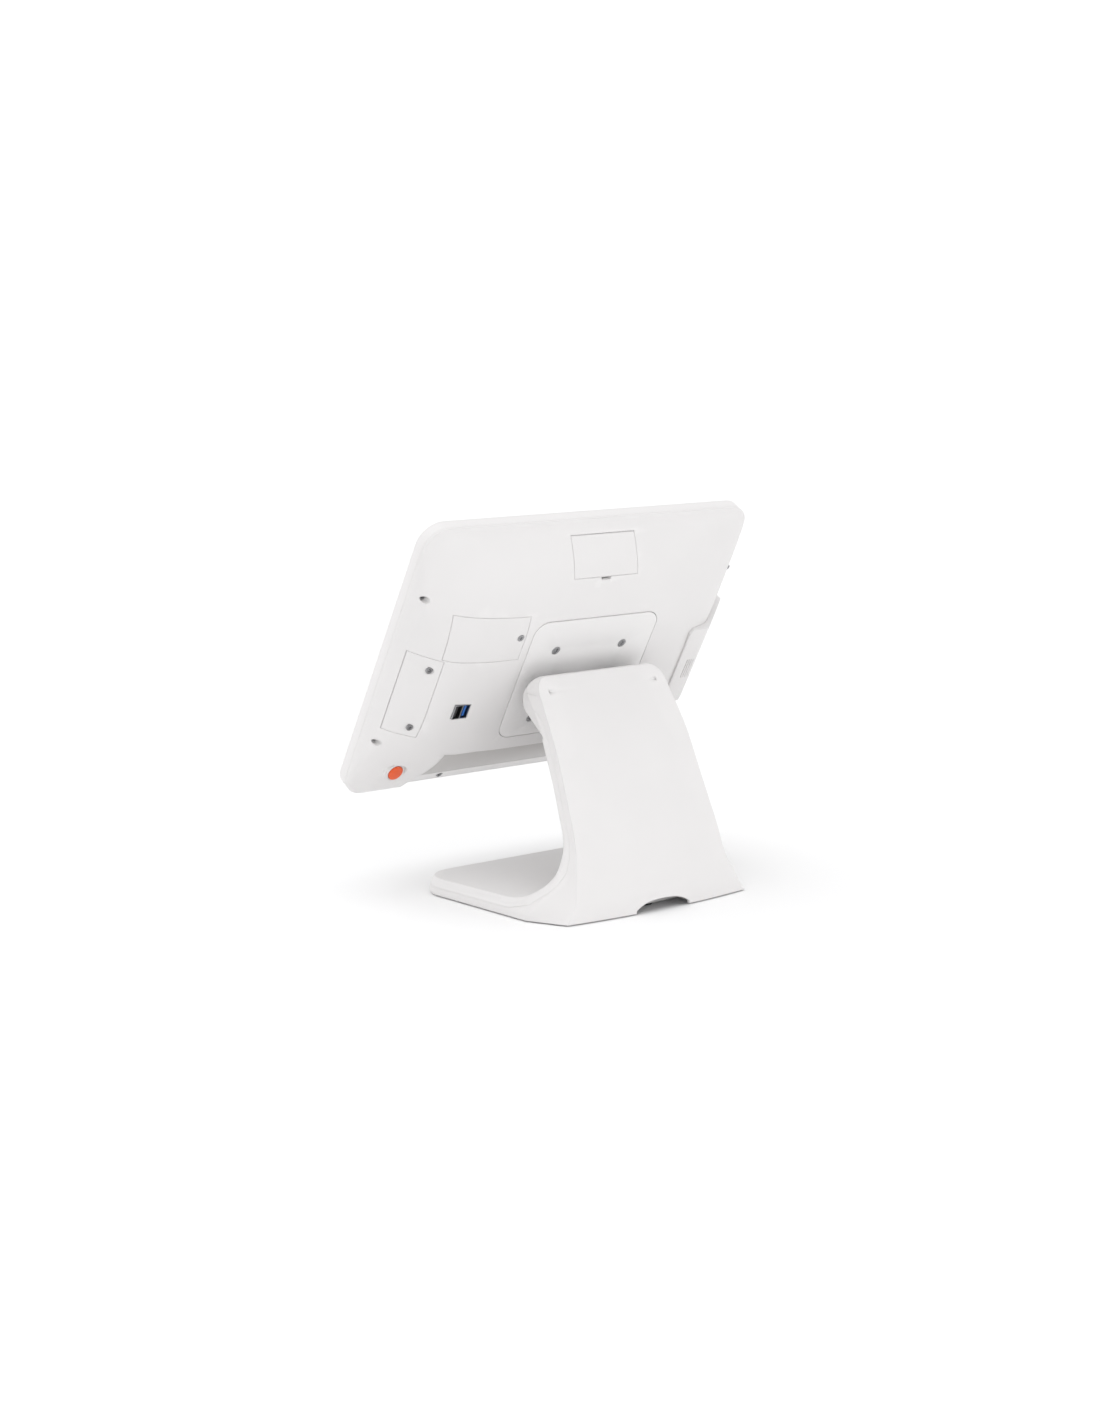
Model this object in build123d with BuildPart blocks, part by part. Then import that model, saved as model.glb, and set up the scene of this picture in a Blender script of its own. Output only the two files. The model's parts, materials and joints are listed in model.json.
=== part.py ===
"""Countertop touchscreen terminal: a tilting display head on a folded one-leg stand.

Frame: origin at the centre of the base footprint on the table, +Z up, the screen
faces -Y, +X is the operator's right when they look at the screen.
Head pieces are drawn on the HEAD plane: x across, y up along the panel and the
plane normal pointing out of the screen, so depth 0 is the back plateau.
"""
import os
from math import cos, radians, sin

from build123d import *

os.makedirs("parts", exist_ok=True)

# ---------------------------------------------------------------- driving sizes (mm)
TILT = 29.6            # screen leans back from vertical
HEAD_W = 362.0         # display head across
HEAD_TOP = 144.5       # head edge above the mounting centre, along the panel
HEAD_LOW = -142.0      # head edge below the mounting centre
HEAD_D = 58.0          # back plateau to front face
RIM_D = 46.0           # depth where the domed back meets the straight wall
PART_D = 48.0          # parting plane between back cover and front bezel
SKIN = 2.4             # wall of the head mouldings
LEDGE = 1.6            # shelf under the service hatches
CORNER_R = 22.0        # head outline corners
GLASS_W = 320.0
GLASS_H = 244.0
MOUNT_P = 75.0         # square screw pattern of the mounting plate
MOUNT_Y = -28.5        # mounting centre behind/before the base centre
MOUNT_Z = 186.5        # mounting centre above the table
AXIS_Y = -4.5          # tilt axis
AXIS_Z = 178.0
BASE_T = 16.0          # base thickness
FLOOR = 1.0            # stand mouldings sit this far off the table on their feet
WALL = 3.0             # wall of the stand mouldings
NECK_T = 14.5          # neck thickness, front to back
TOP_Z = 200.0          # top of the neck hood
SHAFT_R = 4.0          # hinge shaft
RUN = 0.05             # radial running clearance on the shaft

C = cos(radians(TILT))
S = sin(radians(TILT))
HEAD = Plane(origin=(0, MOUNT_Y, MOUNT_Z), x_dir=(1, 0, 0), z_dir=(0, -C, S))


def at_depth(depth):
    """Head plane moved toward the screen by depth."""
    return HEAD.offset(depth)


def head_side(x):
    """Plane across the head at x: local x runs up the panel, local y toward the screen."""
    corner = HEAD.from_local_coords((x, 0, 0))
    return Plane(origin=corner, x_dir=(0, S, C), z_dir=(1, 0, 0))


def side(x):
    """Upright plane across the stand at x: local x is +Y, local y is +Z."""
    return Plane(origin=(x, 0, 0), x_dir=(0, 1, 0), z_dir=(1, 0, 0))


# ---------------------------------------------------------------- head body shapes
# depth, reach on +x, reach on -x, top, bottom, corner radius of the domed back
DOME = [
    (0.0, 108.0, 108.0, 62.0, -68.0, 56.0),
    (1.2, 121.0, 119.0, 72.0, -75.5, 60.0),
    (5.0, 141.0, 134.0, 88.0, -86.0, 66.0),
    (12.0, 154.0, 146.0, 107.0, -96.0, 66.0),
    (22.0, 167.0, 157.5, 122.0, -108.0, 64.0),
    (32.0, 176.5, 168.0, 133.0, -121.0, 54.0),
    (40.0, 179.5, 176.0, 139.5, -133.0, 36.0),
    (RIM_D, HEAD_W / 2, HEAD_W / 2, HEAD_TOP, HEAD_LOW, CORNER_R),
]
FACET_U = 117.0        # half width of the sloped connector face
FACET_TOP = (-70.0, 2.0)
FACET_LOW = (-150.0, 55.8)


def rounded(right, left, top, low, r):
    """Rounded rectangle sketch content reaching right and left of the centre line."""
    with Locations(((right - left) / 2, (top + low) / 2)):
        RectangleRounded(right + left, top - low, r)


def facet_cut(t):
    """Wedge that leaves the sloped connector face, moved inward by t."""
    run = FACET_LOW[0] - FACET_TOP[0]
    rise = FACET_LOW[1] - FACET_TOP[1]
    length = (run * run + rise * rise) ** 0.5
    off = (rise / length * t, -run / length * t)
    a = (FACET_TOP[0] + off[0], FACET_TOP[1] + off[1])
    b = (FACET_LOW[0] + off[0], FACET_LOW[1] + off[1])
    half = FACET_U + t
    with BuildPart() as cut:
        with BuildSketch(head_side(-half)):
            with BuildLine():
                Polyline(a, b, (-190, b[1]), (-190, -20), (a[0], -20), close=True)
            make_face()
        extrude(amount=2 * half)
    return cut.part


def head_solid(t, front):
    """Whole head outline moved inward by t, closed at depth front."""
    with BuildPart() as body:
        for depth, right, left, top, low, r in DOME:
            with BuildSketch(at_depth(depth + t)):
                rounded(right - t, left - t, top - t, low + t, max(r - t, 4))
        loft()
        with BuildSketch(at_depth(RIM_D + t)):
            rounded(HEAD_W / 2 - t, HEAD_W / 2 - t, HEAD_TOP - t, HEAD_LOW + t, CORNER_R - t)
        extrude(amount=front - RIM_D - t)
        add(facet_cut(t), mode=Mode.SUBTRACT)
    return body.part


def slab(x0, x1, y0, y1, d0, d1, r=0.0):
    """Block in head coordinates: across x0..x1, up y0..y1, depth d0..d1."""
    with BuildPart() as block:
        with BuildSketch(at_depth(d0)):
            with Locations(((x0 + x1) / 2, (y0 + y1) / 2)):
                if r:
                    RectangleRounded(x1 - x0, y1 - y0, r)
                else:
                    Rectangle(x1 - x0, y1 - y0)
        extrude(amount=d1 - d0)
    return block.part


def rods(points, radius, d0, d1):
    """Round posts in head coordinates."""
    with BuildPart() as posts:
        with BuildSketch(at_depth(d0)):
            with Locations(*points):
                Circle(radius)
        extrude(amount=d1 - d0)
    return posts.part


def screws(points, seat, head_r, head_h, shank_r, tip, socket=2.0):
    """Socket screws in head coordinates: heads end at depth seat, shanks at tip."""
    body = rods(points, head_r, seat - head_h, seat)
    body += rods(points, shank_r, seat, tip)
    return body - rods(points, socket, seat - head_h, seat - head_h * 0.4)


def outline_prism(pts, d0, d1):
    """Prism over a closed outline in head coordinates."""
    with BuildPart() as prism:
        with BuildSketch(at_depth(d0)):
            with BuildLine():
                Polyline(*pts, close=True)
            make_face()
        extrude(amount=d1 - d0)
    return prism.part


outer = head_solid(0.0, HEAD_D)
inner = head_solid(SKIN, HEAD_D - 3.0)
under = head_solid(SKIN + LEDGE, HEAD_D - 3.0)
skin = outer - inner
shelf = inner - under

# service openings in the back: outline at skin level
MEM = (78.0, 152.0, 33.0, 76.5)          # memory and drive hatch
PORTS = (150.0, 175.5, -53.0, 31.0)      # side service hatch
TOP = (-35.5, 35.5, 106.0, 135.5)        # hinged top hatch
LINK = (0.6 - FACET_U, FACET_U - 0.6, -123.0, -72.5)    # connector bay cover
GAP = 0.3
MOUNT = (-69.8, 69.8, -57.0, 70.0)


def opening(box, grow, d0=-5.0, d1=44.0):
    """Prism over a hatch outline, grown on every side."""
    x0, x1, y0, y1 = box
    return slab(x0 - grow, x1 + grow, y0 - grow, y1 + grow, d0, d1)


def hatch_frame(box):
    """Shelf ring carrying a hatch."""
    return shelf & (opening(box, 2.5) - opening(box, -2.5))


CASE = [(174.5, 84.0), (-171.0, 84.0), (174.5, -69.5), (-171.0, -94.0)]
CASE_WELL = 3.2
LOW_SCREWS = [(79.0, -130.5), (-79.0, -130.5)]
LOW_SEAT = 45.2
MEM_SCREW = [(83.0, 56.0)]
PORT_SCREWS = [(158.0, 19.0), (158.0, -43.0)]
MOUNT_SCREWS = [(x * MOUNT_P / 2, y * MOUNT_P / 2) for x in (-1, 1) for y in (-1, 1)]
BUTTON = (146.5, -104.5)
BUTTON_SEAT = 26.6
LED = (142.2, -116.0)
USB = (119.75, -20.1)
CASE_SEAT = 38.0

# the top hatch turns on two stub pins at its upper edge, just under the skin
HATCH_R = 1.75         # rounded hinge edge
HATCH_SWEEP = 2.2      # clear radius round the hinge edge
HATCH_PIN = 1.0
probe = Axis(tuple(HEAD.from_local_coords((0, TOP[3] - 0.5, -20))), tuple(HEAD.z_dir))
touch, square = outer.find_intersection_points(probe)[0]
HATCH_AT = HEAD.to_local_coords(touch - square * (HATCH_R + 0.05))
OVER_HINGE = HEAD.to_local_coords(touch + square * 12)
UNDER_HINGE = HEAD.to_local_coords(touch - square * 12)


def hatch_rod(radius, x0, x1):
    """Round bar on the hatch hinge line between two x positions."""
    with BuildPart() as bar:
        with BuildSketch(head_side(x0)):
            with Locations((HATCH_AT.Y, HATCH_AT.Z)):
                Circle(radius)
        extrude(amount=x1 - x0)
    return bar.part


def hatch_bay(grow):
    """Prism over the top hatch, ending square to the skin at the hinge line."""
    low = TOP[2] - grow
    above = (OVER_HINGE.Y, OVER_HINGE.Z)
    below = (UNDER_HINGE.Y, UNDER_HINGE.Z)
    with BuildPart() as prism:
        with BuildSketch(head_side(TOP[0] - grow)):
            with BuildLine():
                Polyline((low, -10), above, below, (low, 44), close=True)
            make_face()
        extrude(amount=TOP[1] - TOP[0] + 2 * grow)
    return prism.part


# back cover
bosses = rods(CASE, 6.0, -2, PART_D) & outer
bosses += rods(LOW_SCREWS, 6.0, 30, PART_D) & outer
bosses += rods([BUTTON], 12.5, 0, 36) & outer
bosses += rods([BUTTON], 10.4, BUTTON_SEAT, 36) - rods([BUTTON], 8.0, 0, 34)
bosses += rods([LED], 3.6, 20, 40) & outer
port_posts = rods([(104.0, -36.0), (136.0, -36.0), (104.0, -4.0), (136.0, -4.0)], 3.2, 1, 14)
bosses += port_posts & outer
mount_frame = slab(-76, 76, -63, 76, SKIN, 6.0, 16) - slab(-62, 62, -49, 62, 0, 8, 10)
with BuildPart() as rear_cover:
    add(skin)
    split(bisect_by=at_depth(PART_D), keep=Keep.BOTTOM)
    add(bosses)
    add(hatch_frame(MEM))
    add(hatch_frame(PORTS))
    add(hatch_frame(TOP) & hatch_bay(3))
    add(hatch_frame(LINK))
    add(mount_frame)
    add(rods(MEM_SCREW, 4.6, 2, 8) & inner)
    add(rods(PORT_SCREWS, 5.6, 12, 23) & inner)
    add(opening(MEM, GAP, -5, 44) & skin, mode=Mode.SUBTRACT)
    add(opening(PORTS, GAP, -5, 44) & skin, mode=Mode.SUBTRACT)
    add(hatch_bay(GAP) & skin, mode=Mode.SUBTRACT)
    add(hatch_rod(HATCH_SWEEP, TOP[0] - GAP, TOP[1] + GAP), mode=Mode.SUBTRACT)
    add(hatch_rod(HATCH_PIN + RUN, TOP[0] - 2.3, TOP[1] + 2.3), mode=Mode.SUBTRACT)
    add(opening(LINK, GAP, -5, 44) & skin, mode=Mode.SUBTRACT)
    add(slab(-5.5, 5.5, 103.2, 106.5, -5, 14, 1.4) & skin, mode=Mode.SUBTRACT)
    add(rods(LOW_SCREWS, 3.5, -5, LOW_SEAT), mode=Mode.SUBTRACT)
    add(slab(*MOUNT, -1, 3.0, 14), mode=Mode.SUBTRACT)
    add(rods(CASE, CASE_WELL, -5, CASE_SEAT), mode=Mode.SUBTRACT)
    add(rods(CASE, 1.6, 0, PART_D + 1), mode=Mode.SUBTRACT)
    add(rods(LOW_SCREWS, 1.6, 20, PART_D + 1), mode=Mode.SUBTRACT)
    add(rods([BUTTON], 7.55, -5, BUTTON_SEAT + 6), mode=Mode.SUBTRACT)
    add(rods([BUTTON], 10.4, -5, BUTTON_SEAT), mode=Mode.SUBTRACT)
    add(rods([BUTTON], 5.0, 20, 40), mode=Mode.SUBTRACT)
    add(rods([LED], 1.3, 0, 42), mode=Mode.SUBTRACT)
    add(rods(MEM_SCREW, 1.25, 0, 9), mode=Mode.SUBTRACT)
    add(rods(PORT_SCREWS, 1.25, 0, 32), mode=Mode.SUBTRACT)
    add(slab(USB[0] - 8.2, USB[0] + 8.2, USB[1] - 7.8, USB[1] + 7.8, -5, 12), mode=Mode.SUBTRACT)

# hatches lie flush in the back
with BuildPart() as memory_hatch:
    add(skin & opening(MEM, 0))
    add(rods(MEM_SCREW, 3.4, -2, 1.5), mode=Mode.SUBTRACT)
    add(rods(MEM_SCREW, 1.25, 0, 6), mode=Mode.SUBTRACT)

with BuildPart() as port_hatch:
    add(skin & opening(PORTS, 0))
    add(rods(PORT_SCREWS, 3.4, -2, 16.4), mode=Mode.SUBTRACT)
    add(rods(PORT_SCREWS, 1.25, 0, 30), mode=Mode.SUBTRACT)

with BuildPart() as link_cover:
    add(skin & opening(LINK, 0))

with BuildPart() as top_hatch:
    add(skin & hatch_bay(0))
    add(hatch_rod(HATCH_R, TOP[0], TOP[1]))
    add(hatch_rod(HATCH_PIN, TOP[0] - 2.0, TOP[1] + 2.0))

with BuildPart() as hatch_screws:
    add(screws(MEM_SCREW, 1.5, 3.2, 1.4, 1.25, 7.5, 1.4))
    add(screws(PORT_SCREWS, 16.4, 3.2, 1.8, 1.25, 22.5, 1.4))

# front bezel and the display stack behind it
GLASS_Y = -0.5
GLASS_BOX = (-GLASS_W / 2, GLASS_W / 2, GLASS_Y - GLASS_H / 2, GLASS_Y + GLASS_H / 2)
POSTS = [(x, y) for x in (-164.5, 164.5) for y in (-104.0, 8.0, 118.0)]


def glass_box(grow, d0, d1, r):
    """Block over the glass outline, grown on every side."""
    x0, x1, y0, y1 = GLASS_BOX
    return slab(x0 - grow, x1 + grow, y0 - grow, y1 + grow, d0, d1, r)


with BuildPart() as front_bezel:
    add(skin)
    split(bisect_by=at_depth(PART_D), keep=Keep.TOP)
    add(glass_box(4, 52.6, 55.0, 6) & inner)
    add(rods(CASE, 5.0, PART_D, 55.5) & outer)
    add(rods(LOW_SCREWS, 5.0, PART_D, 55.5) & outer)
    add(rods(POSTS, 2.8, 45.0, 55.5))
    add(glass_box(0.25, 54.6, 60.0, 4.25), mode=Mode.SUBTRACT)
    add(glass_box(-5, 50.0, 60.0, 2), mode=Mode.SUBTRACT)
    add(rods(CASE + LOW_SCREWS, 1.6, 46, 53), mode=Mode.SUBTRACT)
    add(rods(POSTS, 1.25, 44, 51), mode=Mode.SUBTRACT)

with BuildPart() as touch_glass:
    add(glass_box(0, 54.6, 57.2, 4))

with BuildPart() as display_panel:
    add(slab(-157.5, 157.5, -120.0, 120.0, 45.0, 52.6, 1.5))

with BuildPart() as panel_chassis:
    add(slab(-168.0, 168.0, -116.0, 124.0, 43.6, 45.0, 6))
    add(slab(-150.0, 150.0, 121.0, 122.5, 38.0, 43.6))
    add(rods(POSTS, 1.25, 43, 46), mode=Mode.SUBTRACT)
    add(rods(CASE, 6.5, 40, 48), mode=Mode.SUBTRACT)

with BuildPart() as panel_screws:
    add(screws(POSTS, 43.6, 2.6, 1.6, 1.25, 50.0, 1.3))

PILLARS = MOUNT_SCREWS
BOARD_FIX = [(-80.0, -54.0), (80.0, -54.0), (-80.0, 92.0), (80.0, 92.0)]
with BuildPart() as main_board:
    add(slab(-85.0, 85.0, -60.0, 98.0, 36.0, 37.6, 2))
    add(rods(PILLARS, 5.5, 30, 40), mode=Mode.SUBTRACT)
    add(rods(BOARD_FIX, 1.5, 30, 40), mode=Mode.SUBTRACT)

with BuildPart() as board_spacers:
    add(rods(BOARD_FIX, 3.0, 37.6, 43.6))
    add(rods(BOARD_FIX, 1.5, 37, 44), mode=Mode.SUBTRACT)

with BuildPart() as board_screws:
    add(screws(BOARD_FIX, 36.0, 2.8, 1.8, 1.5, 43.0, 1.4))

with BuildPart() as heat_sink:
    add(slab(-28.0, 28.0, -28.0, 68.0, 32.0, 36.0))
    for k in range(8):
        x = -27.0 + k * 7.0
        add(slab(x, x + 2.0, -28.0, 68.0, 20.0, 32.0))

with BuildPart() as storage_drive:
    add(slab(87.0, 156.0, -24.0, 72.0, 23.5, 30.5, 2))

TRAY_LEGS = [(92.0, -20.0), (150.0, -20.0), (92.0, 68.0), (150.0, 68.0)]
with BuildPart() as drive_tray:
    add(slab(87.0, 156.0, -26.0, 74.0, 30.5, 31.7, 2))
    add(rods(TRAY_LEGS, 3.0, 31.7, 43.6))

with BuildPart() as speakers:
    for s in (-1, 1):
        add(slab(s * 143.0 - 15, s * 143.0 + 15, -90.0, -62.0, 35.0, 43.6, 3))
        add(rods([(s * 143.0, -76.0)], 9.0, 34.0, 35.0))

# connectors on the lower edge of the board, under the connector bay cover
with BuildPart() as dc_inlet:
    add(slab(-80.0, -66.0, -78.0, -58.0, 24.0, 36.0, 1))
    with BuildSketch(Plane(origin=HEAD.from_local_coords((-73, -78, 30)), x_dir=(1, 0, 0), z_dir=(0, S, C))):
        Circle(3.6)
        Circle(1.1, mode=Mode.SUBTRACT)
    extrude(amount=9, mode=Mode.SUBTRACT)

with BuildPart() as network_jack:
    add(slab(-56.0, -40.0, -78.0, -58.0, 22.5, 36.0))
    add(slab(-53.9, -42.1, -79.0, -66.0, 25.0, 33.5), mode=Mode.SUBTRACT)

with BuildPart() as serial_port:
    add(slab(-28.0, 3.0, -76.0, -58.0, 24.0, 36.0))
    add(slab(-21.0, -4.0, -82.0, -76.0, 26.0, 34.0, 2))

with BuildPart() as video_port:
    add(slab(14.0, 45.0, -76.0, -58.0, 24.0, 36.0))
    add(slab(21.0, 38.0, -82.0, -76.0, 26.0, 34.0, 2))

with BuildPart() as drawer_jack:
    add(slab(56.0, 70.0, -78.0, -58.0, 24.0, 36.0))
    add(slab(58.5, 67.5, -79.0, -66.0, 26.0, 33.0), mode=Mode.SUBTRACT)

with BuildPart() as link_bracket:
    add(slab(-86.0, 86.0, -75.0, -73.8, 20.0, 43.6))
    for x0, x1 in ((-80.0, -66.0), (-56.0, -40.0), (-28.0, 3.0), (14.0, 45.0), (56.0, 70.0)):
        add(slab(x0, x1, -80.0, -70.0, 22.5, 38.0), mode=Mode.SUBTRACT)

# side USB pair on its own small board
with BuildPart() as usb_shell:
    x, y = USB
    add(slab(x - 7.9, x + 7.9, y - 7.5, y + 7.5, 0.6, 14.0))
    add(slab(x - 7.4, x - 0.4, y - 7.0, y + 7.0, 0.0, 13.0), mode=Mode.SUBTRACT)
    add(slab(x + 0.4, x + 7.4, y - 7.0, y + 7.0, 0.0, 13.0), mode=Mode.SUBTRACT)

with BuildPart() as usb_tongue_dark:
    add(slab(x + 3.2, x + 5.4, y - 6.0, y + 6.0, 2.4, 13.0))

with BuildPart() as usb_tongue_blue:
    add(slab(x - 5.4, x - 3.2, y - 6.0, y + 6.0, 2.4, 13.0))

with BuildPart() as usb_board:
    add(slab(100.0, 140.0, -40.0, 0.0, 14.0, 15.6, 1))

# power button
with BuildPart() as button_ring:
    add(rods([BUTTON], 9.6, BUTTON_SEAT - 1.0, BUTTON_SEAT))
    add(rods([BUTTON], 7.55, 0, 40), mode=Mode.SUBTRACT)

with BuildPart() as power_button:
    add(rods([BUTTON], 7.2, BUTTON_SEAT - 1.6, BUTTON_SEAT + 3.4))
    add(rods([BUTTON], 2.0, BUTTON_SEAT + 3.4, BUTTON_SEAT + 6.9))

with BuildPart() as power_switch:
    add(rods([BUTTON], 5.0, 36.0, 40.0))
    add(rods([BUTTON], 1.5, 34.9, 36.0))

with BuildPart() as status_light:
    add(rods([LED], 1.3, 0, 41) & outer)

with BuildPart() as accessory_port:
    add(slab(-18.0, 18.0, 109.0, 119.0, 36.0, 43.6, 1))
    add(slab(-14.0, 14.0, 111.0, 117.0, 34.0, 40.0), mode=Mode.SUBTRACT)

with BuildPart() as case_screws:
    add(screws(CASE, CASE_SEAT, CASE_WELL - 0.3, 2.4, 1.6, 52.0, 1.8))
    add(screws(LOW_SCREWS, LOW_SEAT, 3.2, 2.2, 1.6, 52.0, 1.6))

# mounting plate and what carries it
ARM_FIX = [(s * 29.0, y) for s in (-1, 1) for y in (-16.0, -4.0)]
with BuildPart() as mount_plate:
    x0, x1, y0, y1 = MOUNT
    add(slab(x0 + 0.5, x1 - 0.5, y0 + 0.5, y1 - 0.5, 0.0, 3.0, 13.5))
    add(rods(MOUNT_SCREWS, 4.4, -1, 1.8), mode=Mode.SUBTRACT)
    add(rods(MOUNT_SCREWS, 2.0, 0, 4), mode=Mode.SUBTRACT)
    add(rods(ARM_FIX, 1.5, -1, 4), mode=Mode.SUBTRACT)

with BuildPart() as mount_screws:
    add(screws(MOUNT_SCREWS, 1.8, 4.0, 1.6, 2.0, 13.0, 2.2))

with BuildPart() as mount_pillars:
    add(rods(PILLARS, 5.0, 3.0, 43.6))
    add(rods(PILLARS, 2.0, 2, 14), mode=Mode.SUBTRACT)

# card reader on the left edge
READ_LOW = -41.0
READ_TOP = 43.0
READ_IN = -118.4
READ_OUT = -(HEAD_W / 2 + 10.0)
read_plane = Plane(
    origin=HEAD.from_local_coords((0, READ_LOW, 0)), x_dir=(1, 0, 0), z_dir=(0, S, C)
)
with BuildPart() as reader_block:
    with BuildSketch(read_plane):
        with BuildLine():
            Polyline(
                (READ_IN, -8.0), (READ_IN, 0.8), (-138.0, -0.2), (-143.5, -3.4), (-160.0, -17.9),
                (-176.0, -32.0), (READ_OUT + 4, -42.0), (READ_OUT, -47.0), (READ_OUT, -55.0),
                (-160.0, -55.0), close=True,
            )
        make_face()
    extrude(amount=READ_TOP - READ_LOW)
reader_plan = outline_prism(
    [
        (READ_IN, READ_TOP - 4), (READ_IN - 4, READ_TOP), (READ_OUT + 5, READ_TOP),
        (READ_OUT, READ_TOP - 5), (READ_OUT, READ_LOW + 5), (READ_OUT + 5, READ_LOW),
        (READ_IN, READ_LOW),
    ],
    -3, 60,
)
with BuildPart() as reader_housing:
    add((reader_block.part & reader_plan) - outer)
    add(
        slab(READ_OUT + 3.6, READ_OUT + 4.8, READ_LOW - 2, READ_TOP + 2, 44, 56),
        mode=Mode.SUBTRACT,
    )
    add(slab(READ_OUT + 4.8, READ_OUT + 8.4, -8, 8, 46, 56), mode=Mode.SUBTRACT)
    for k in range(4):
        add(slab(-129.4 - 2.6 * k, -128.4 - 2.6 * k, -13, 8, -2, 0.5), mode=Mode.SUBTRACT)

with BuildPart() as reader_head:
    add(slab(READ_OUT + 4.8, READ_OUT + 8.4, -8, 8, 46, 53.5))

# ---------------------------------------------------------------- stand shapes
# height, rear half width, rear y, rear bulge, side half width, side y,
# front half width, front y, front corner radius
PLAN = [
    (0.0, 102.2, 87.2, 7.2, 119.6, 52.6, 128.4, -93.0, 28.0),
    (5.0, 98.6, 87.4, 7.2, 119.6, 53.4, 129.6, -94.0, 28.0),
    (10.0, 95.2, 87.0, 7.0, 118.0, 55.2, 128.8, -93.2, 27.5),
    (BASE_T, 91.8, 86.0, 6.8, 112.6, 58.6, 125.6, -90.4, 26.0),
    (21.0, 89.6, 84.4, 6.4, 106.6, 61.6, 118.0, -84.0, 24.0),
    (28.0, 87.2, 81.8, 5.8, 98.8, 63.4, 106.0, -80.0, 24.0),
    (36.0, 85.2, 78.8, 5.0, 92.5, 63.0, 97.0, -80.0, 24.0),
    (47.0, 83.0, 76.0, 4.2, 87.5, 61.0, 91.0, -80.0, 24.0),
    (59.0, 81.2, 73.2, 3.5, 83.6, 58.2, 86.0, -80.0, 24.0),
    (85.0, 78.6, 63.2, 2.5, 79.8, 48.6, 82.0, -80.0, 24.0),
    (115.0, 76.6, 50.0, 2.0, 77.6, 35.8, 79.0, -80.0, 24.0),
    (149.0, 74.7, 34.0, 1.5, 75.5, 20.0, 76.5, -80.0, 24.0),
    (169.0, 73.2, 21.6, 1.2, 73.9, 8.0, 75.0, -80.0, 24.0),
    (179.0, 72.4, 15.4, 1.0, 73.0, 2.0, 74.0, -80.0, 24.0),
    (190.0, 71.6, 8.4, 0.8, 72.2, -5.0, 73.0, -80.0, 24.0),
    (202.0, 70.8, 0.6, 0.6, 71.3, -12.0, 72.0, -80.0, 24.0),
]
ARM_IN = 38.0          # hinge arms, inner face
ARM_OUT = 44.0
ARC_R = 17.5           # clear radius round the tilt axis


def plan_face(level, z, t):
    """Plan outline of the stand at height z, moved inward by t."""
    hr, yr, bulge, hs, ys, hf, yf, r = level
    hr, hs, hf, r = hr - t, hs - t, hf - t, r - t
    yr, ys, yf = yr - t, ys - t * 0.4, yf + t
    with BuildSketch(Plane.XY.offset(z)) as plan:
        with BuildLine():
            front = Line((-hf + r, yf), (hf - r, yf))
            right = RadiusArc(front @ 1, (hf, yf + r), -r)
            edge = Line(right @ 1, (hs, ys))
            bevel = Line(edge @ 1, (hr, yr))
            rear = ThreePointArc(bevel @ 1, (0, yr + bulge), (-hr, yr))
            bevel_2 = Line(rear @ 1, (-hs, ys))
            edge_2 = Line(bevel_2 @ 1, (-hf, yf + r))
            RadiusArc(edge_2 @ 1, front @ 0, -r)
        make_face()
    return plan.sketch.face()


def stand_solid(t):
    """Folded stand outline moved inward by t; open at the table when t is not zero."""
    floor = FLOOR if t == 0 else -2.0
    with BuildPart() as flow:
        loft([plan_face(level[1:], level[0], t) for level in PLAN])
        if t:
            extrude(plan_face(PLAN[0][1:], -2, t), amount=2, dir=(0, 0, 1))
    with BuildPart() as fold:
        with BuildSketch(side(-140)):
            with BuildLine():
                top = Line((-130, BASE_T - t), (20, BASE_T - t))
                cove = Spline(
                    top @ 1,
                    (46 + t * 0.5, BASE_T + 5.5 - t),
                    (58.0 + t, 37.0 - t * 0.4),
                    (59.4 + t, 50.0),
                    (58.7 + t, 59.0),
                    (48.7 + t, 85.0),
                    (35.5 + t, 115.0),
                    (19.8 + t, 149.0),
                    (10.5 + t, 163.0),
                    tangents=[(1, 0), (-1, 1.4)],
                )
                hood = Spline(
                    (-8.4 + t, 187.0),
                    (-6.6 + t, 194.5 - t),
                    (-1.0, TOP_Z - t),
                    (5.0, 198.6 - t),
                    (14.0, 191.0 - t),
                    tangents=[(-0.5, 1), (1, -1.1)],
                )
                Line(cove @ 1, hood @ 0)
                Polyline(hood @ 1, (40, 165), (130, 60), (130, floor), (-130, floor), top @ 0)
            make_face()
        extrude(amount=280)
    with BuildPart() as corners:
        with BuildSketch(Plane.XZ.offset(-60)):
            for s in (-1, 1):
                with Locations((s * (57 + 16), 185 + 16)):
                    Rectangle(32, 32)
                with Locations((s * 57, 185)):
                    Circle(15 - t, mode=Mode.SUBTRACT)
        extrude(amount=120)
    return (flow.part & fold.part) - corners.part


def across(points, x0, x1):
    """Prism over a Y-Z outline between two x positions."""
    with BuildPart() as prism:
        with BuildSketch(side(x0)):
            with BuildLine():
                Polyline(*points, close=True)
            make_face()
        extrude(amount=x1 - x0)
    return prism.part


def axis_rod(radius, x0, x1):
    """Round bar on the tilt axis between two x positions."""
    with BuildPart() as bar:
        with BuildSketch(side(x0)):
            with Locations((AXIS_Y, AXIS_Z)):
                Circle(radius)
        extrude(amount=x1 - x0)
    return bar.part


stand_out = stand_solid(0)
stand_in = stand_solid(WALL)
stand_skin = stand_out - stand_in
# everything on the operator's side of the parting line
PARTING = [
    (-140, 8.0), (30, 8.0), (52, 14.0), (63.5, 26.0), (68.0, 40.0), (67.5, 52.0), (65.5, 62.0),
    (55.7, 85.0), (42.6, 115.0), (26.7, 149.0), (17.5, 163.0), (9.0, 170.5), (-40, 170.5), (-140, 170.5),
]

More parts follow.
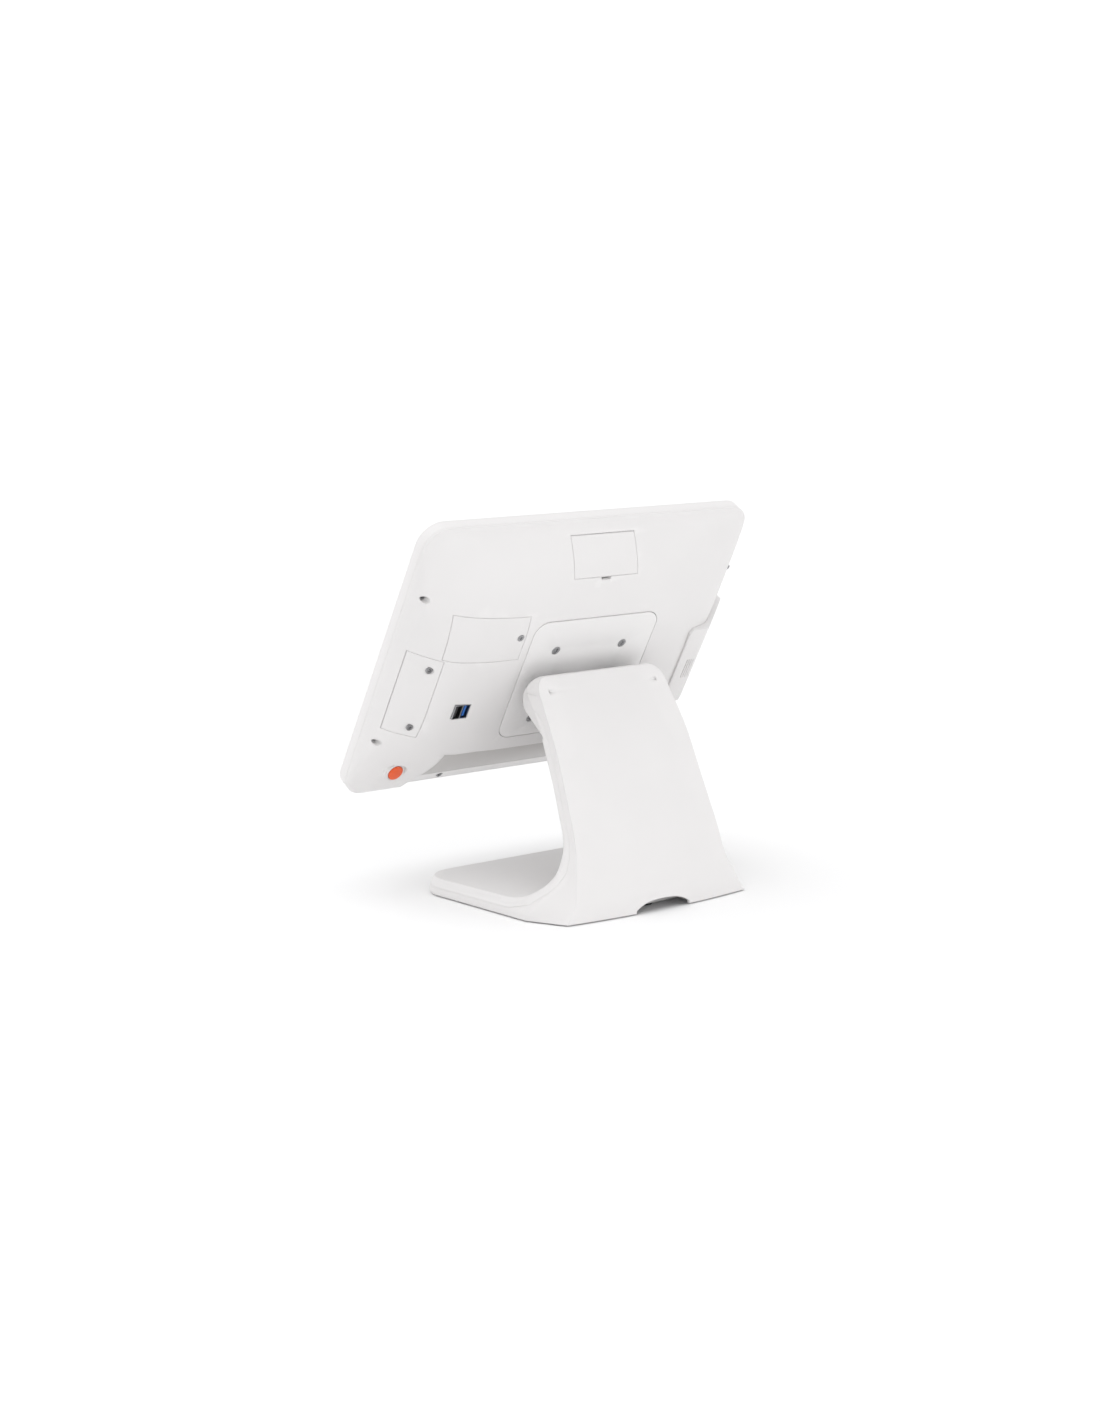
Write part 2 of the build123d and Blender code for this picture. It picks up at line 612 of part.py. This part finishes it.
# head side of the hinge
AXIS = HEAD.to_local_coords(Vector(0, AXIS_Y, AXIS_Z))
with BuildPart() as hinge_arms:
    for x0 in (ARM_IN, -ARM_OUT):
        with BuildSketch(head_side(x0)):
            with Locations((AXIS.Y, AXIS.Z)):
                Circle(9)
            with Locations((-10, -1.5)):
                Rectangle(24, 3)
            make_hull()
        extrude(amount=ARM_OUT - ARM_IN)
    for s in (-1, 1):
        mid = s * (24 + ARM_OUT) / 2
        add(slab(mid - 10, mid + 10, -22, 2, -3, 0))
    add(rods(ARM_FIX, 1.5, -4, 1), mode=Mode.SUBTRACT)
    add(axis_rod(SHAFT_R + RUN, -60, 60), mode=Mode.SUBTRACT)

with BuildPart() as arm_screws:
    add(screws(ARM_FIX, -3.0, 2.8, 1.8, 1.5, 2.6, 1.4))

# ---------------------------------------------------------------- stand pieces
front_region = across(PARTING, -140, 140)
hinge_clear = axis_rod(ARC_R, -61, 61) + axis_rod(14.6, -68.4, 68.4)
FRONT_POSTS = [(-60.0, -83.0), (60.0, -83.0)]
REAR_POSTS = [(-86.0, 60.0), (86.0, 60.0)]
SIDE_POSTS = [(-111.5, -20.0), (111.5, -20.0)]
FIX = FRONT_POSTS + REAR_POSTS + SIDE_POSTS
NOTCH_W = 60.0
NOTCH_H = 10.0


def upright(points, radius, z0, z1):
    """Upright round posts in stand coordinates."""
    with BuildPart() as posts:
        with BuildSketch(Plane.XY.offset(z0)):
            with Locations(*points):
                Circle(radius)
        extrude(amount=z1 - z0)
    return posts.part


def crate(x0, x1, y0, y1, z0, z1, r=0.0):
    """Block in stand coordinates."""
    with BuildPart() as block:
        with BuildSketch(Plane.XY.offset(z0)):
            with Locations(((x0 + x1) / 2, (y0 + y1) / 2)):
                if r:
                    RectangleRounded(x1 - x0, y1 - y0, r)
                else:
                    Rectangle(x1 - x0, y1 - y0)
        extrude(amount=z1 - z0)
    return block.part


with BuildPart() as cable_arch:
    with BuildSketch(Plane.XZ.offset(-120)):
        with BuildLine():
            foot = Polyline((-NOTCH_W / 2, -3), (-NOTCH_W / 2, NOTCH_H * 0.35))
            arch = Spline(
                foot @ 1,
                (-NOTCH_W * 0.3, NOTCH_H * 0.9),
                (0, NOTCH_H + 0.6),
                (NOTCH_W * 0.3, NOTCH_H * 0.9),
                (NOTCH_W / 2, NOTCH_H * 0.35),
            )
            Polyline(arch @ 1, (NOTCH_W / 2, -3), foot @ 0)
        make_face()
    extrude(amount=46)

with BuildPart() as neck_front:
    add(stand_skin & front_region)
    add(upright(FIX, 4.2, 3.6, 14) & stand_out)
    add(upright(FIX, 1.3, 3, 10.5), mode=Mode.SUBTRACT)
    add(hinge_clear, mode=Mode.SUBTRACT)
    add(crate(-50, 50, -60, 60, 136, 190), mode=Mode.SUBTRACT)

with BuildPart() as neck_rear:
    add(stand_skin - front_region)
    add(cable_arch.part, mode=Mode.SUBTRACT)
    add(hinge_clear, mode=Mode.SUBTRACT)

with BuildPart() as lobe_shape:
    for x0 in (52, -68):
        with BuildSketch(side(x0)):
            with Locations((AXIS_Y, AXIS_Z)):
                Circle(14)
            with Locations((26, 139)):
                Circle(2)
            make_hull()
        extrude(amount=16)

CAP_IN = {52: (-1, 14), -68: (2, 17)}      # cavity of each cap, closed on its outer side
with BuildPart() as hinge_covers:
    add(lobe_shape.part - stand_out)
    for x0 in (52, -68):
        add(axis_rod(14, x0, x0 + 16))
        add(axis_rod(10, x0 + CAP_IN[x0][0], x0 + CAP_IN[x0][1]), mode=Mode.SUBTRACT)

# steel spine inside the neck, foot under the base skin
SPINE_BACK = [(79.0, 20.0), (74.3, 36.0), (68.7, 59.0), (58.7, 85.0), (45.5, 115.0), (29.5, 149.0), (20.2, 164.0)]
SPINE_T = 4.0
SPINE_TOP = BASE_T - WALL              # spine foot seats under the base skin
SPINE_LOW = SPINE_TOP - SPINE_T
spine_front = [(y - SPINE_T, z) for y, z in reversed(SPINE_BACK)]
spine_line = [(2.0, SPINE_LOW), (77.5, SPINE_LOW)] + SPINE_BACK
spine_line += spine_front + [(73.5, SPINE_TOP), (2.0, SPINE_TOP)]
FOOT_FIX = [(x, y) for x in (-40.0, 40.0) for y in (10.0, 32.0)]
RISE = Plane(origin=(0, 21.56, 149.0), x_dir=(1, 0, 0), z_dir=(0, -0.873, -0.487))
SUPPORT_FIX = [(x, y) for x in (-20.0, 20.0) for y in (-7.0, 7.0)]


def rise_rods(radius, d0, d1):
    """Posts square to the neck at the hinge support."""
    with BuildPart() as posts:
        with BuildSketch(RISE.offset(d0)):
            with Locations(*SUPPORT_FIX):
                Circle(radius)
        extrude(amount=d1 - d0)
    return posts.part


with BuildPart() as spine:
    add(across(spine_line, -52, 52))
    add(upright(FOOT_FIX, 2.0, SPINE_LOW - 1, SPINE_TOP + 1), mode=Mode.SUBTRACT)
    add(rise_rods(1.5, -12, 6), mode=Mode.SUBTRACT)

with BuildPart() as hinge_support:
    add(across([(30.7, 138), (16.2, 164), (13.2, 164), (27.7, 138)], -46, 46))
    for x0 in (28, -34):
        with BuildSketch(side(x0)):
            with Locations((AXIS_Y, AXIS_Z)):
                Circle(10)
            Polygon((29.0, 139.5), (15.0, 163.5), (20.0, 150.0), align=None)
            make_hull()
        extrude(amount=6)
    add(across(spine_line, -60, 60), mode=Mode.SUBTRACT)
    add(axis_rod(SHAFT_R, -60, 60), mode=Mode.SUBTRACT)
    add(rise_rods(1.5, -12, 6), mode=Mode.SUBTRACT)

with BuildPart() as support_bolts:
    add(rise_rods(3.0, 0.0, 2.6))
    add(rise_rods(1.5, -6.0, 0.0))
    add(rise_rods(1.4, 1.4, 2.6), mode=Mode.SUBTRACT)

with BuildPart() as hinge_shaft:
    add(axis_rod(SHAFT_R, 26, 50))
    add(axis_rod(SHAFT_R, -50, -26))

with BuildPart() as friction_discs:
    for x0, x1 in ((34.0, 37.9), (-37.9, -34.0)):
        add(axis_rod(9.0, x0, x1))
    add(axis_rod(SHAFT_R, -60, 60), mode=Mode.SUBTRACT)

with BuildPart() as spring_washers:
    for x0, x1 in ((44.1, 45.8), (-45.8, -44.1)):
        add(axis_rod(7.5, x0, x1))
    add(axis_rod(SHAFT_R, -60, 60), mode=Mode.SUBTRACT)

with BuildPart() as hinge_nuts:
    for x0 in (45.8, -49.8):
        with BuildSketch(side(x0)):
            with Locations((AXIS_Y, AXIS_Z)):
                RegularPolygon(7.5, 6)
                Circle(SHAFT_R, mode=Mode.SUBTRACT)
        extrude(amount=4)

with BuildPart() as ballast:
    add(crate(-104, 104, -74, 44, 3.6, SPINE_LOW, 18))
    add(upright(FOOT_FIX, 2.0, 3, 10), mode=Mode.SUBTRACT)
    add(upright(FOOT_FIX, 4.2, 3, 6.2), mode=Mode.SUBTRACT)

with BuildPart() as foot_bolts:
    add(upright(FOOT_FIX, 4.0, 3.8, 6.2))
    add(upright(FOOT_FIX, 2.0, 6.2, SPINE_TOP))
    add(upright(FOOT_FIX, 2.0, 3.8, 5.2), mode=Mode.SUBTRACT)

floor_level = PLAN[0][1:]
with BuildPart() as bottom_cover:
    extrude(plan_face(floor_level, 1.6, 5.4), amount=2.0, dir=(0, 0, 1))
    add(crate(-NOTCH_W / 2 - 4, NOTCH_W / 2 + 4, 74, 120, 0, 5), mode=Mode.SUBTRACT)
    add(upright(FIX, 2.9, 1, 2.6), mode=Mode.SUBTRACT)
    add(upright(FIX, 1.3, 1, 5), mode=Mode.SUBTRACT)

with BuildPart() as base_screws:
    add(upright(FIX, 2.7, 1.7, 2.6))
    add(upright(FIX, 1.3, 2.6, 10.0))
    add(upright(FIX, 1.2, 1.7, 2.2), mode=Mode.SUBTRACT)

FEET = [(-92.0, -72.0), (92.0, -72.0), (-96.0, 40.0), (96.0, 40.0), (0.0, 66.0), (0.0, 0.0)]
with BuildPart() as rubber_feet:
    add(upright(FEET, 8.0, 0.0, 1.6))

with BuildPart() as cable_clip:
    add(across([(63.5, 62), (61.8, 62), (58.8, 70), (60.4, 70)], -6, 6))

# ---------------------------------------------------------------- export
NODES = {
    "rear_cover": rear_cover,
    "memory_hatch": memory_hatch,
    "port_hatch": port_hatch,
    "link_cover": link_cover,
    "top_hatch": top_hatch,
    "hatch_screws": hatch_screws,
    "front_bezel": front_bezel,
    "touch_glass": touch_glass,
    "display_panel": display_panel,
    "panel_chassis": panel_chassis,
    "panel_screws": panel_screws,
    "main_board": main_board,
    "board_spacers": board_spacers,
    "board_screws": board_screws,
    "heat_sink": heat_sink,
    "storage_drive": storage_drive,
    "drive_tray": drive_tray,
    "speakers": speakers,
    "dc_inlet": dc_inlet,
    "network_jack": network_jack,
    "serial_port": serial_port,
    "video_port": video_port,
    "drawer_jack": drawer_jack,
    "link_bracket": link_bracket,
    "usb_shell": usb_shell,
    "usb_tongue_dark": usb_tongue_dark,
    "usb_tongue_blue": usb_tongue_blue,
    "usb_board": usb_board,
    "button_ring": button_ring,
    "power_button": power_button,
    "power_switch": power_switch,
    "status_light": status_light,
    "accessory_port": accessory_port,
    "case_screws": case_screws,
    "mount_plate": mount_plate,
    "mount_screws": mount_screws,
    "mount_pillars": mount_pillars,
    "reader_housing": reader_housing,
    "reader_head": reader_head,
    "hinge_arms": hinge_arms,
    "arm_screws": arm_screws,
    "neck_front": neck_front,
    "neck_rear": neck_rear,
    "hinge_covers": hinge_covers,
    "spine": spine,
    "hinge_support": hinge_support,
    "support_bolts": support_bolts,
    "hinge_shaft": hinge_shaft,
    "friction_discs": friction_discs,
    "spring_washers": spring_washers,
    "hinge_nuts": hinge_nuts,
    "ballast": ballast,
    "foot_bolts": foot_bolts,
    "bottom_cover": bottom_cover,
    "base_screws": base_screws,
    "rubber_feet": rubber_feet,
    "cable_clip": cable_clip,
}
for label, node in NODES.items():
    node.part.label = label
    export_step(node.part, f"parts/{label}.step")
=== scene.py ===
import json
import math

import bpy
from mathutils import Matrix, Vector

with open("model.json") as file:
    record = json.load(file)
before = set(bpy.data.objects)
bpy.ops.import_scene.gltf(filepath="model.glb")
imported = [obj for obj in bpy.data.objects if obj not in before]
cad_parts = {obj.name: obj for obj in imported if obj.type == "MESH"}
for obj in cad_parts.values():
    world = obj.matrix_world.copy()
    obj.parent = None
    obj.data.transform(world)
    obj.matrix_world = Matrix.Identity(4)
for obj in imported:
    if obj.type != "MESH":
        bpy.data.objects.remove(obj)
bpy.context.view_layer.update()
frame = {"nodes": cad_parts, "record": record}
NODES = frame["nodes"]

# ------------------------------------------------------------------ shader helpers
NONE, FULL = (0, 0, 0), (1, 1, 1)
MIX_FACTOR, MIX_UNDER, MIX_OVER, MIX_RESULT = 0, 6, 7, 2  # the colour sockets of a Mix node
EDGE_SAMPLES = 6


def new_material(name):
    m = bpy.data.materials.new(name)
    m.use_nodes = True
    nt = m.node_tree
    return m, nt, nt.nodes["Principled BSDF"]


def noise(nt, coord, scale, detail, rough=0.55):
    n = nt.nodes.new("ShaderNodeTexNoise")
    n.inputs["Scale"].default_value = scale
    n.inputs["Detail"].default_value = detail
    n.inputs["Roughness"].default_value = rough
    nt.links.new(coord.outputs["Object"], n.inputs["Vector"])
    return n.outputs["Fac"]


def ramp(nt, source, stops):
    r = nt.nodes.new("ShaderNodeValToRGB")
    while len(r.color_ramp.elements) < len(stops):
        r.color_ramp.elements.new(0.5)
    for e, (pos, col) in zip(r.color_ramp.elements, stops):
        e.position = pos
        e.color = (*col, 1)
    nt.links.new(source, r.inputs["Fac"])
    return r.outputs["Color"]


def span(nt, source, low, high):
    r = nt.nodes.new("ShaderNodeMapRange")
    r.inputs["To Min"].default_value = low
    r.inputs["To Max"].default_value = high
    nt.links.new(source, r.inputs["Value"])
    return r.outputs["Result"]


def blend(nt, amount, under, over):
    """The under socket's colour, going over to a fixed colour by amount."""
    mix = nt.nodes.new("ShaderNodeMix")
    mix.data_type = "RGBA"
    mix.inputs[MIX_OVER].default_value = (*over, 1)
    nt.links.new(amount, mix.inputs[MIX_FACTOR])
    nt.links.new(under, mix.inputs[MIX_UNDER])
    return mix.outputs[MIX_RESULT]


def bump(nt, bsdf, layers, edge=0.0):
    """Chained bumps: (height socket, strength, distance in metres), over edges rounded by edge."""
    last = None
    if edge:
        last = nt.nodes.new("ShaderNodeBevel")
        last.samples = EDGE_SAMPLES
        last.inputs["Radius"].default_value = edge
    for height, strength, dist in layers:
        b = nt.nodes.new("ShaderNodeBump")
        b.inputs["Strength"].default_value = strength
        b.inputs["Distance"].default_value = dist
        nt.links.new(height, b.inputs["Height"])
        if last:
            nt.links.new(last.outputs["Normal"], b.inputs["Normal"])
        last = b
    nt.links.new(last.outputs["Normal"], bsdf.inputs["Normal"])


# ------------------------------------------------------------------ materials
MOTTLE_SCALE = 9.0
PATCH_SCALE = 38.0
RIDGE = [(0.50, NONE), (0.58, FULL)]  # pointiness that counts as an outer edge
HOLLOW = [(0.42, FULL), (0.49, NONE)]  # pointiness that counts as a crease
RIDGE_WEAR = 0.45
# painted shade: how far creases are darkened towards the crease colour
CREASE_SHADE_AMOUNT = 0.35
GRAIN_STRENGTH = 0.35
BRUSH_STRENGTH = 0.25
BRUSH_DEPTH = 0.00003
COAT_ROUGH = 0.08


def finish_like(name, col, rough, grain, depth, tint, metal=0.0, crease_shade=None, coat=0.0, streak=None, edge=0.0):
    """Moulded or machined surface: fine grain, soft mottling, worn edges, painted shade in creases and
    uneven gloss.
    """
    m, nt, b = new_material(name)
    co = nt.nodes.new("ShaderNodeTexCoord")
    sharp = nt.nodes.new("ShaderNodeNewGeometry").outputs["Pointiness"]

    low = tuple(max(0.0, c * (1 - tint)) for c in col)
    high = tuple(min(1.0, c * (1 + tint * 0.6)) for c in col)
    worn = tuple(min(1.0, c * 1.06 + 0.01) for c in col)
    colour = ramp(nt, noise(nt, co, MOTTLE_SCALE, 3.0), [(0.3, low), (0.7, high)])
    colour = blend(nt, span(nt, ramp(nt, sharp, RIDGE), 0.0, RIDGE_WEAR), colour, worn)
    # painted shade: creases are darkened towards the given crease colour
    if crease_shade:
        colour = blend(nt, span(nt, ramp(nt, sharp, HOLLOW), 0.0, CREASE_SHADE_AMOUNT), colour, crease_shade)
    nt.links.new(colour, b.inputs["Base Color"])

    patch = noise(nt, co, PATCH_SCALE, 5.0, 0.6)
    nt.links.new(span(nt, patch, rough - 0.05, rough + 0.07), b.inputs["Roughness"])

    layers = [(noise(nt, co, grain, 2.0, 0.5), GRAIN_STRENGTH, depth)]
    if streak:
        mapping = nt.nodes.new("ShaderNodeMapping")
        mapping.inputs["Scale"].default_value = streak
        nt.links.new(co.outputs["Object"], mapping.inputs["Vector"])
        brush = nt.nodes.new("ShaderNodeTexNoise")
        brush.inputs["Scale"].default_value = 1.0
        nt.links.new(mapping.outputs["Vector"], brush.inputs["Vector"])
        layers.append((brush.outputs["Fac"], BRUSH_STRENGTH, BRUSH_DEPTH))
    bump(nt, b, layers, edge)
    b.inputs["Metallic"].default_value = metal
    b.inputs["Coat Weight"].default_value = coat
    b.inputs["Coat Roughness"].default_value = COAT_ROUGH
    return m


def screen_glass():
    """Hard coated glass over a black display: faint smears in the gloss."""
    m, nt, b = new_material("screen_glass")
    co = nt.nodes.new("ShaderNodeTexCoord")
    smear = noise(nt, co, 26.0, 6.0, 0.65)
    blacks = [(0.35, (0.010, 0.010, 0.012)), (0.75, (0.016, 0.016, 0.019))]
    nt.links.new(ramp(nt, smear, blacks), b.inputs["Base Color"])
    nt.links.new(span(nt, smear, 0.03, 0.13), b.inputs["Roughness"])
    bump(nt, b, [(noise(nt, co, 180.0, 2.0), 0.05, 0.00001)])
    b.inputs["Coat Weight"].default_value = 0.6
    b.inputs["Coat Roughness"].default_value = 0.03
    return m


# grain: noise scale per metre; depth: height of its bumps in metres; edge: rounding in metres; the crease
# colour is painted shade
FINISHES = {
    "white_plastic": dict(
        col=(0.765, 0.752, 0.748), rough=0.42, grain=2600.0, depth=0.00005, tint=0.02,
        crease_shade=(0.55, 0.53, 0.52), edge=0.0011,
    ),
    "white_metal": dict(
        col=(0.79, 0.78, 0.775), rough=0.40, grain=1500.0, depth=0.00005, tint=0.02,
        crease_shade=(0.5, 0.49, 0.48), edge=0.0006,
    ),
    # painted shade: the white plastic darkened for the downward-facing link cover, standing in for the shade
    # on that face
    "bay_plastic_painted_shade": dict(
        col=(0.50, 0.485, 0.475), rough=0.45, grain=2600.0, depth=0.00005, tint=0.03,
        crease_shade=(0.4, 0.39, 0.38), edge=0.0008,
    ),
    "steel": dict(
        col=(0.50, 0.51, 0.53), rough=0.32, grain=900.0, depth=0.00002, tint=0.08,
        metal=1.0, streak=(30, 900, 900),
    ),
    "screw_steel": dict(
        col=(0.40, 0.40, 0.41), rough=0.36, grain=1200.0, depth=0.00002, tint=0.12, metal=1.0,
    ),
    "alloy": dict(
        col=(0.70, 0.71, 0.72), rough=0.38, grain=1600.0, depth=0.00003, tint=0.05, metal=1.0,
    ),
    "brass_spacer": dict(
        col=(0.62, 0.45, 0.18), rough=0.28, grain=900.0, depth=0.00002, tint=0.1, metal=1.0,
    ),
    "orange_plastic": dict(
        col=(0.82, 0.10, 0.015), rough=0.22, grain=1500.0, depth=0.00002, tint=0.06, coat=0.5,
    ),
    "clear_plastic": dict(
        col=(0.30, 0.30, 0.29), rough=0.15, grain=1200.0, depth=0.00002, tint=0.1, coat=0.4,
    ),
    "panel_black": dict(col=(0.008, 0.008, 0.010), rough=0.25, grain=700.0, depth=0.00001, tint=0.2),
    "board_green": dict(col=(0.015, 0.11, 0.05), rough=0.35, grain=800.0, depth=0.00003, tint=0.15),
    "black_plastic": dict(col=(0.018, 0.018, 0.020), rough=0.42, grain=1800.0, depth=0.00004, tint=0.2),
    "blue_plastic": dict(col=(0.01, 0.12, 0.45), rough=0.35, grain=1800.0, depth=0.00003, tint=0.1),
    "rubber": dict(col=(0.025, 0.025, 0.026), rough=0.75, grain=1400.0, depth=0.00008, tint=0.25),
}
MATERIALS = {name: finish_like(name, **finish) for name, finish in FINISHES.items()}
MATERIALS["screen_glass"] = screen_glass()
# painted shade: the link cover gets the darker plastic in place of the shade on its downward face
PAINTED_SHADE_FINISH = {"link_cover": "bay_plastic_painted_shade"}  # darker than its material slot

for part in frame["record"]["subparts"]:
    obj = NODES.get(part["node"])
    if obj is None:
        continue
    obj.data.materials.clear()
    obj.data.materials.append(MATERIALS[PAINTED_SHADE_FINISH.get(part["node"], part["material_slot"])])

# ------------------------------------------------------------------ softened edges on the moulded nodes
SOFT_MM = {
    "rear_cover": 0.35, "front_bezel": 0.8, "memory_hatch": 0.25, "port_hatch": 0.25, "link_cover": 0.3,
    "top_hatch": 0.3, "mount_plate": 0.35, "reader_housing": 0.6, "neck_front": 0.6,
    "hinge_covers": 0.5, "power_button": 0.5, "button_ring": 0.3, "bottom_cover": 0.3, "rubber_feet": 0.4,
    "mount_screws": 0.3, "hatch_screws": 0.25, "case_screws": 0.3, "touch_glass": 0.2,
}
WELD_GAP = 0.000002
BEVEL_STEPS = 3
BEVEL_ANGLE = math.radians(35)
SHARP_ANGLE = math.radians(32)

for name, width in SOFT_MM.items():
    obj = NODES[name]
    weld = obj.modifiers.new("weld", "WELD")
    weld.merge_threshold = WELD_GAP
    bev = obj.modifiers.new("edges", "BEVEL")
    bev.width = width / 1000
    bev.segments = BEVEL_STEPS
    bev.limit_method = "ANGLE"
    bev.angle_limit = BEVEL_ANGLE
    bev.harden_normals = False
    bev.use_clamp_overlap = True

for obj in NODES.values():
    for p in obj.data.polygons:
        p.use_smooth = True
    obj.data.set_sharp_from_angle(angle=SHARP_ANGLE)

# ------------------------------------------------------------------ stage
FLOOR_HALF = 30.0
FLOOR_Z = -0.0002
FLOOR_GREY = 0.95

floor_mesh = bpy.data.meshes.new("floor")
corners = [(x * FLOOR_HALF, y * FLOOR_HALF, FLOOR_Z) for x, y in ((-1, -1), (1, -1), (1, 1), (-1, 1))]
floor_mesh.from_pydata(corners, [], [(0, 1, 2, 3)])
floor = bpy.data.objects.new("floor", floor_mesh)
bpy.context.scene.collection.objects.link(floor)
floor_white, _, floor_bsdf = new_material("floor_white")
floor_bsdf.inputs["Base Color"].default_value = (FLOOR_GREY, FLOOR_GREY, FLOOR_GREY, 1)
floor_bsdf.inputs["Roughness"].default_value = 0.9
floor.data.materials.append(floor_white)

# The sky is white up to a little over the horizon and greyer overhead.
SKY = [(0.0, FULL), (0.16, FULL), (0.5, (0.48, 0.48, 0.485))]
SKY_STRENGTH = 1.12

world = bpy.data.worlds.new("studio")
bpy.context.scene.world = world
world.use_nodes = True
wt = world.node_tree
where = wt.nodes.new("ShaderNodeTexCoord")
axes = wt.nodes.new("ShaderNodeSeparateXYZ")
wt.links.new(where.outputs["Generated"], axes.inputs["Vector"])
background = wt.nodes["Background"]
wt.links.new(ramp(wt, axes.outputs["Z"], SKY), background.inputs["Color"])
background.inputs["Strength"].default_value = SKY_STRENGTH


def soft_sun(name, toward, strength, degrees):
    """Very wide soft light that comes from the given direction and isn't mirrored in the glass."""
    lamp = bpy.data.lights.new(name, "SUN")
    lamp.energy = strength
    lamp.angle = math.radians(degrees)
    o = bpy.data.objects.new(name, lamp)
    bpy.context.scene.collection.objects.link(o)
    o.rotation_mode = "QUATERNION"
    o.rotation_quaternion = (-Vector(toward)).to_track_quat("-Z", "Y")
    o.visible_glossy = False


soft_sun("overhead", (0.15, 0.1, 1.0), 1.35, 80)
soft_sun("behind", (-0.15, 1.0, 0.2), 0.45, 70)
soft_sun("in_front", (0.3, -1.0, 0.6), 0.5, 70)

# ------------------------------------------------------------------ camera: behind, to the +X side
CAMERA_AT = (1.32585, 1.63165, 0.53705)
AROUND = math.radians(37.98)
DOWN = math.radians(10.10)

cam_data = bpy.data.cameras.new("camera")
cam_data.sensor_width = 36.0
cam_data.sensor_fit = "AUTO"
cam_data.lens = 60.76
cam_data.clip_start = 0.05
cam_data.clip_end = 100
cam = bpy.data.objects.new("camera", cam_data)
bpy.context.scene.collection.objects.link(cam)
cam.location = CAMERA_AT
level = math.cos(DOWN)
look = Vector((-math.sin(AROUND) * level, -math.cos(AROUND) * level, -math.sin(DOWN)))
cam.rotation_mode = "QUATERNION"
cam.rotation_quaternion = look.to_track_quat("-Z", "Y")
bpy.context.scene.camera = cam
bpy.context.scene.view_settings.view_transform = "Standard"
